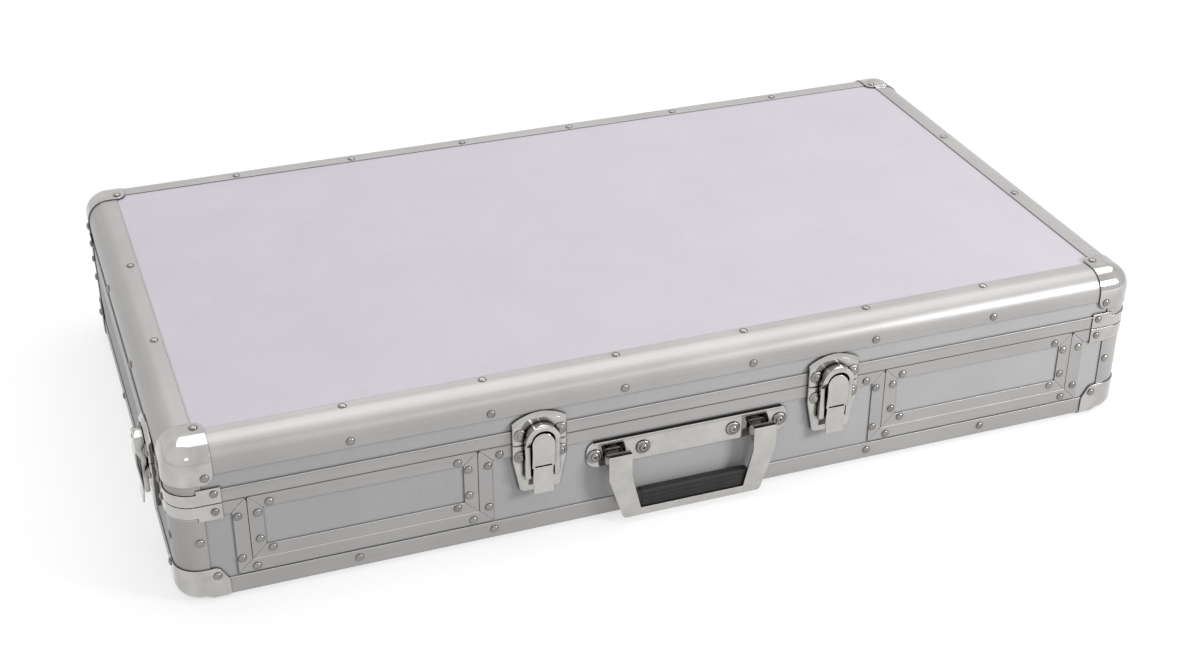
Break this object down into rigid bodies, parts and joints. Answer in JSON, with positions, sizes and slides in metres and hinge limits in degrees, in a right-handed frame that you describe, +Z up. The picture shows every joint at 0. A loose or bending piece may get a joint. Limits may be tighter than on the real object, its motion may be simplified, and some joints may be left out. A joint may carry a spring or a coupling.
{
  "type": "mixer flight case",
  "caption": "Low flat equipment case with a rear-hinged lid, draw latches, a drop handle, metal edge profiles, ball corners and lift-out front panels.",
  "frame": {"origin": "middle of the footprint of the closed case, on the surface that it stands on", "axes": "+Z up, front with the handle towards -Y, +X to the right when facing the front"},
  "size_m": [1.0314, 0.5884, 0.1695],
  "materials": {
    "profile_aluminium": "satin",
    "side_laminate": "satin",
    "top_laminate": "satin",
    "divider_board": "matte",
    "foam": "matte",
    "chrome": "polished",
    "grip_plastic": "satin"
  },
  "bodies": {
    "base": {"base_corner_posts": "profile_aluminium", "base_floor": "top_laminate", "base_rim": "profile_aluminium", "base_rim_braces": "chrome", "base_rim_front": "profile_aluminium", "base_wall_back": "side_laminate", "base_wall_front": "side_laminate", "base_wall_left": "side_laminate", "base_wall_right": "side_laminate", "bay_divider_left": "divider_board", "bay_divider_right": "divider_board", "bottom_angle_back": "profile_aluminium", "bottom_angle_front": "profile_aluminium", "bottom_angle_left": "profile_aluminium", "bottom_angle_right": "profile_aluminium", "floor_foam": "foam", "foot_corners": "chrome", "front_panel_frame_left": "profile_aluminium", "front_panel_frame_right": "profile_aluminium", "front_panel_left": "side_laminate", "front_panel_right": "side_laminate", "handle_plate": "chrome", "handle_rivets": "chrome", "hinge_base_leaves": "chrome", "hinge_pins": "chrome", "latch_lever_pins": "chrome", "latch_plate_front_left": "chrome", "latch_plate_front_right": "chrome", "latch_plate_rivets": "chrome", "latch_plate_side_left": "chrome", "latch_plate_side_right": "chrome", "opening_edging_left": "profile_aluminium", "opening_edging_right": "profile_aluminium"},
    "lid": {"lid_panel": "top_laminate", "lid_walls": "side_laminate", "lid_edge_front": "profile_aluminium", "lid_edge_back": "profile_aluminium", "lid_edge_left": "profile_aluminium", "lid_edge_right": "profile_aluminium", "lid_rim": "profile_aluminium", "lid_corner_posts": "profile_aluminium", "lid_corners": "chrome", "lid_rim_braces": "chrome", "lid_foam": "foam", "latch_keepers": "chrome", "keeper_rivets": "chrome", "hinge_lid_leaves": "chrome"},
    "handle": {"handle_frame": "chrome", "handle_grip": "grip_plastic", "handle_pins": "chrome"},
    "lever_front_left": {"latch_lever_front_left": "chrome"},
    "bail_front_left": {"latch_bail_front_left": "chrome"},
    "lever_front_right": {"latch_lever_front_right": "chrome"},
    "bail_front_right": {"latch_bail_front_right": "chrome"},
    "lever_side_left": {"latch_lever_side_left": "chrome"},
    "bail_side_left": {"latch_bail_side_left": "chrome"},
    "lever_side_right": {"latch_lever_side_right": "chrome"},
    "bail_side_right": {"latch_bail_side_right": "chrome"}
  },
  "joints": [
    {"name": "lid_hinge", "type": "hinge", "parent": "base", "child": "lid", "pos_m": [0, 0.2906, 0.1077], "axis": [-1, 0, 0], "range_deg": [0, 95]},
    {"name": "handle_pivot", "type": "hinge", "parent": "base", "child": "handle", "pos_m": [0, -0.2868, 0.0735], "axis": [-1, 0, 0], "range_deg": [0, 90]},
    {"name": "lever_front_left_pivot", "type": "hinge", "parent": "base", "child": "lever_front_left", "pos_m": [-0.1535, -0.2874, 0.1175], "axis": [-1, 0, 0], "range_deg": [0, 80]},
    {"name": "bail_front_left_swing", "type": "hinge", "parent": "lever_front_left", "child": "bail_front_left", "pos_m": [-0.1535, -0.287, 0.073], "axis": [-1, 0, 0], "range_deg": [-28, 0]},
    {"name": "lever_front_right_pivot", "type": "hinge", "parent": "base", "child": "lever_front_right", "pos_m": [0.1535, -0.2874, 0.1175], "axis": [-1, 0, 0], "range_deg": [0, 80]},
    {"name": "bail_front_right_swing", "type": "hinge", "parent": "lever_front_right", "child": "bail_front_right", "pos_m": [0.1535, -0.287, 0.073], "axis": [-1, 0, 0], "range_deg": [-28, 0]},
    {"name": "lever_side_left_pivot", "type": "hinge", "parent": "base", "child": "lever_side_left", "pos_m": [-0.5092, -0.1692, 0.1175], "axis": [0, 1, 0], "range_deg": [0, 80]},
    {"name": "bail_side_left_swing", "type": "hinge", "parent": "lever_side_left", "child": "bail_side_left", "pos_m": [-0.5088, -0.1692, 0.073], "axis": [0, 1, 0], "range_deg": [-28, 0]},
    {"name": "lever_side_right_pivot", "type": "hinge", "parent": "base", "child": "lever_side_right", "pos_m": [0.5092, -0.1692, 0.1175], "axis": [0, -1, 0], "range_deg": [0, 80]},
    {"name": "bail_side_right_swing", "type": "hinge", "parent": "lever_side_right", "child": "bail_side_right", "pos_m": [0.5088, -0.1692, 0.073], "axis": [0, -1, 0], "range_deg": [-28, 0]}
  ],
  "couplings": [
    {"joint": "bail_front_left_swing", "follows": "lever_front_left_pivot", "ratio": -0.35},
    {"joint": "bail_front_right_swing", "follows": "lever_front_right_pivot", "ratio": -0.35},
    {"joint": "bail_side_left_swing", "follows": "lever_side_left_pivot", "ratio": -0.35},
    {"joint": "bail_side_right_swing", "follows": "lever_side_right_pivot", "ratio": -0.35}
  ]
}
